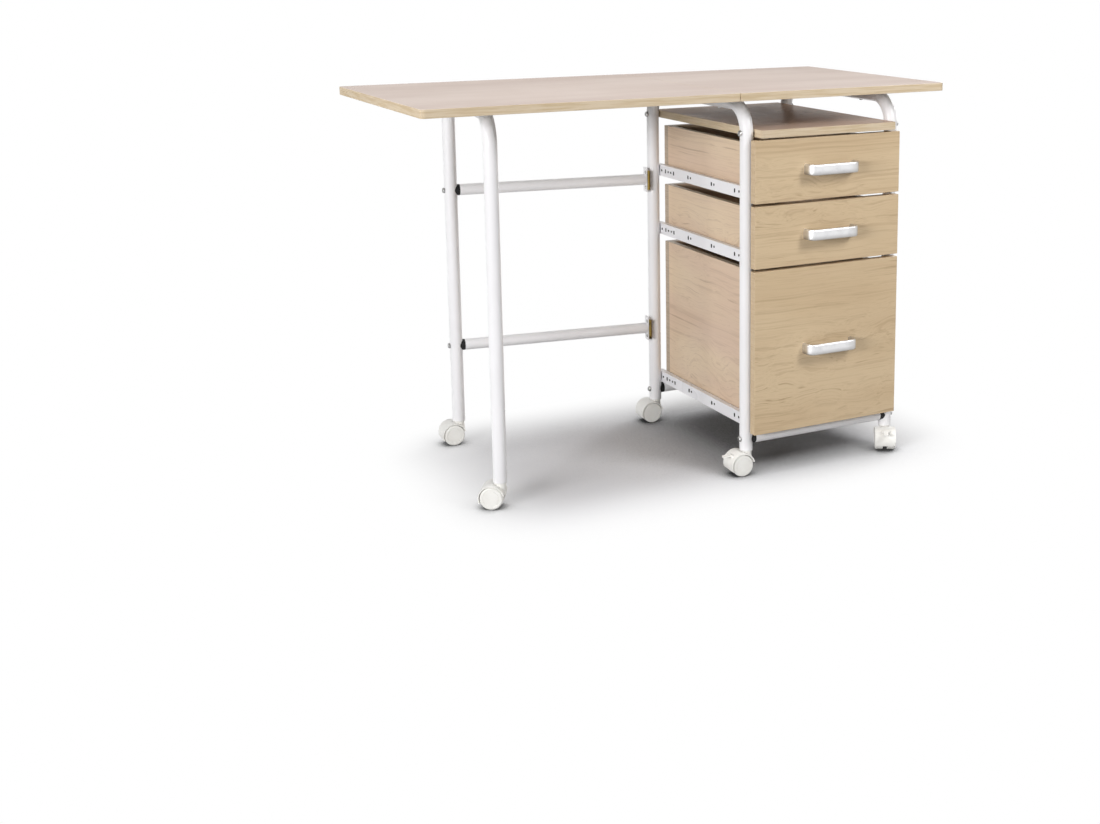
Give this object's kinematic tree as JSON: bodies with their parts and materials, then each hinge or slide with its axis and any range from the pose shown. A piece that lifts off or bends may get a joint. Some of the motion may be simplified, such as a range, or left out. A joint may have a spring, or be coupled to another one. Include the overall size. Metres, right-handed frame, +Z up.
{
  "type": "folding desk",
  "caption": "Folding desk on casters: drawer pedestal with a fixed top, a hinged drop leaf and a swing-out gate of bent tube that carries the leaf.",
  "frame": {"origin": "middle of the covered floor area, on the floor", "axes": "+X along the top towards the pedestal, +Y to the back, +Z up"},
  "size_m": [1.034, 0.5252, 0.73],
  "materials": {
    "top_laminate": "matt wood-print laminate on particle board",
    "front_laminate": "matt wood-print laminate, horizontal grain",
    "side_laminate": "matt wood-print laminate",
    "bottom_panel": "smooth pale fibre board",
    "white_frame": "white powder coat",
    "rail_white": "white enamel",
    "roller_plastic": "off-white moulded plastic",
    "zinc_steel": "bright zinc plate",
    "black_plastic": "black moulded plastic",
    "hinge_brass": "dull brass plate",
    "handle_silver": "satin silver",
    "caster_shell": "white moulded plastic, slight gloss",
    "caster_wheel": "off-white moulded plastic",
    "socket_plastic": "off-white moulded plastic"
  },
  "bodies": {
    "pedestal": {"fixed_top": "top_laminate", "left_side_frame": "white_frame", "right_side_frame": "white_frame", "shelf_board": "top_laminate", "cross_tubes": "white_frame", "cross_tube_caps": "black_plastic", "frame_bolts": "zinc_steel", "pedestal_screws": "zinc_steel", "outer_rails": "rail_white", "rail_rollers": "roller_plastic", "leaf_hinge_fixed_leaves": "hinge_brass", "hinge_pins": "hinge_brass", "gate_hinge_brackets": "white_frame", "gate_hinge_fixed_leaves": "hinge_brass", "caster_sockets": "socket_plastic"},
    "leaf": {"leaf_board": "top_laminate", "leaf_hinge_moving_leaves": "hinge_brass", "leaf_hinge_screws": "zinc_steel"},
    "gate": {"gate_frame": "white_frame", "gate_stretchers": "white_frame", "stretcher_caps": "black_plastic", "gate_bolts": "zinc_steel", "gate_hinge_moving_leaves": "hinge_brass", "gate_hinge_screws": "zinc_steel", "gate_caster_sockets": "socket_plastic"},
    "upper_drawer": {"upper_drawer_front": "front_laminate", "upper_drawer_sides": "side_laminate", "upper_drawer_back": "side_laminate", "upper_drawer_bottom": "bottom_panel", "upper_drawer_handle": "handle_silver", "upper_drawer_runners": "rail_white", "upper_drawer_screws": "zinc_steel"},
    "middle_drawer": {"middle_drawer_front": "front_laminate", "middle_drawer_sides": "side_laminate", "middle_drawer_back": "side_laminate", "middle_drawer_bottom": "bottom_panel", "middle_drawer_handle": "handle_silver", "middle_drawer_runners": "rail_white", "middle_drawer_screws": "zinc_steel"},
    "file_drawer": {"file_drawer_front": "front_laminate", "file_drawer_sides": "side_laminate", "file_drawer_back": "side_laminate", "file_drawer_bottom": "bottom_panel", "file_drawer_handle": "handle_silver", "file_drawer_runners": "rail_white", "file_drawer_screws": "zinc_steel"},
    "front_left_caster": {"front_left_caster_hood": "caster_shell"},
    "front_left_wheels": {"front_left_caster_wheels": "caster_wheel"},
    "front_left_brake": {"front_left_brake_lever": "caster_shell"},
    "rear_left_caster": {"rear_left_caster_hood": "caster_shell"},
    "rear_left_wheels": {"rear_left_caster_wheels": "caster_wheel"},
    "front_right_caster": {"front_right_caster_hood": "caster_shell"},
    "front_right_wheels": {"front_right_caster_wheels": "caster_wheel"},
    "front_right_brake": {"front_right_brake_lever": "caster_shell"},
    "rear_right_caster": {"rear_right_caster_hood": "caster_shell"},
    "rear_right_wheels": {"rear_right_caster_wheels": "caster_wheel"},
    "gate_rear_caster": {"gate_rear_caster_hood": "caster_shell"},
    "gate_rear_wheels": {"gate_rear_caster_wheels": "caster_wheel"},
    "gate_front_caster": {"gate_front_caster_hood": "caster_shell"},
    "gate_front_wheels": {"gate_front_caster_wheels": "caster_wheel"}
  },
  "joints": [
    {"name": "gate_swing", "type": "hinge", "parent": "pedestal", "child": "gate", "pos_m": [0.09311, 0.16538, 0.203], "axis": [0, 0, 1], "range_deg": [0, 98.5]},
    {"name": "leaf_lift", "type": "hinge", "parent": "pedestal", "child": "leaf", "pos_m": [0.0685, -0.1691, 0.712], "axis": [0, 1, 0], "range_deg": [0, 2.8]},
    {"name": "upper_drawer_slide", "type": "slide", "parent": "pedestal", "child": "upper_drawer", "axis": [0, -1, 0], "range_m": [0, 0.3]},
    {"name": "middle_drawer_slide", "type": "slide", "parent": "pedestal", "child": "middle_drawer", "axis": [0, -1, 0], "range_m": [0, 0.3]},
    {"name": "file_drawer_slide", "type": "slide", "parent": "pedestal", "child": "file_drawer", "axis": [0, -1, 0], "range_m": [0, 0.3]},
    {"name": "front_left_swivel", "type": "hinge", "parent": "pedestal", "child": "front_left_caster", "pos_m": [0.111, -0.2041, 0.048], "axis": [0, 0, 1], "continuous": true},
    {"name": "front_left_roll", "type": "hinge", "parent": "front_left_caster", "child": "front_left_wheels", "pos_m": [0.09703, -0.20312, 0.021], "axis": [-0.0698, -0.9976, 0], "continuous": true},
    {"name": "front_left_brake_press", "type": "hinge", "parent": "front_left_caster", "child": "front_left_brake", "pos_m": [0.07813, -0.2018, 0.03995], "axis": [-0.0698, -0.9976, 0], "range_deg": [0, 12]},
    {"name": "rear_left_swivel", "type": "hinge", "parent": "pedestal", "child": "rear_left_caster", "pos_m": [0.111, 0.1809, 0.048], "axis": [0, 0, 1], "continuous": true},
    {"name": "rear_left_roll", "type": "hinge", "parent": "rear_left_caster", "child": "rear_left_wheels", "pos_m": [0.09703, 0.18188, 0.021], "axis": [-0.0698, -0.9976, 0], "continuous": true},
    {"name": "front_right_swivel", "type": "hinge", "parent": "pedestal", "child": "front_right_caster", "pos_m": [0.431, -0.2041, 0.048], "axis": [0, 0, 1], "continuous": true},
    {"name": "front_right_roll", "type": "hinge", "parent": "front_right_caster", "child": "front_right_wheels", "pos_m": [0.424, -0.21622, 0.021], "axis": [0.866, -0.5, 0], "continuous": true},
    {"name": "front_right_brake_press", "type": "hinge", "parent": "front_right_caster", "child": "front_right_brake", "pos_m": [0.41452, -0.23263, 0.03995], "axis": [0.866, -0.5, 0], "range_deg": [0, 12]},
    {"name": "rear_right_swivel", "type": "hinge", "parent": "pedestal", "child": "rear_right_caster", "pos_m": [0.431, 0.1809, 0.048], "axis": [0, 0, 1], "continuous": true},
    {"name": "rear_right_roll", "type": "hinge", "parent": "rear_right_caster", "child": "rear_right_wheels", "pos_m": [0.41721, 0.17847, 0.021], "axis": [0.1736, -0.9848, 0], "continuous": true},
    {"name": "gate_rear_swivel", "type": "hinge", "parent": "gate", "child": "gate_rear_caster", "pos_m": [-0.30389, 0.23886, 0.048], "axis": [0, 0, 1], "continuous": true},
    {"name": "gate_rear_roll", "type": "hinge", "parent": "gate_rear_caster", "child": "gate_rear_wheels", "pos_m": [-0.31784, 0.24008, 0.021], "axis": [-0.0872, -0.9962, 0], "continuous": true},
    {"name": "gate_front_swivel", "type": "hinge", "parent": "gate", "child": "gate_front_caster", "pos_m": [-0.36124, -0.14487, 0.048], "axis": [0, 0, 1], "continuous": true},
    {"name": "gate_front_roll", "type": "hinge", "parent": "gate_front_caster", "child": "gate_front_wheels", "pos_m": [-0.37336, -0.13787, 0.021], "axis": [-0.5, -0.866, 0], "continuous": true}
  ]
}
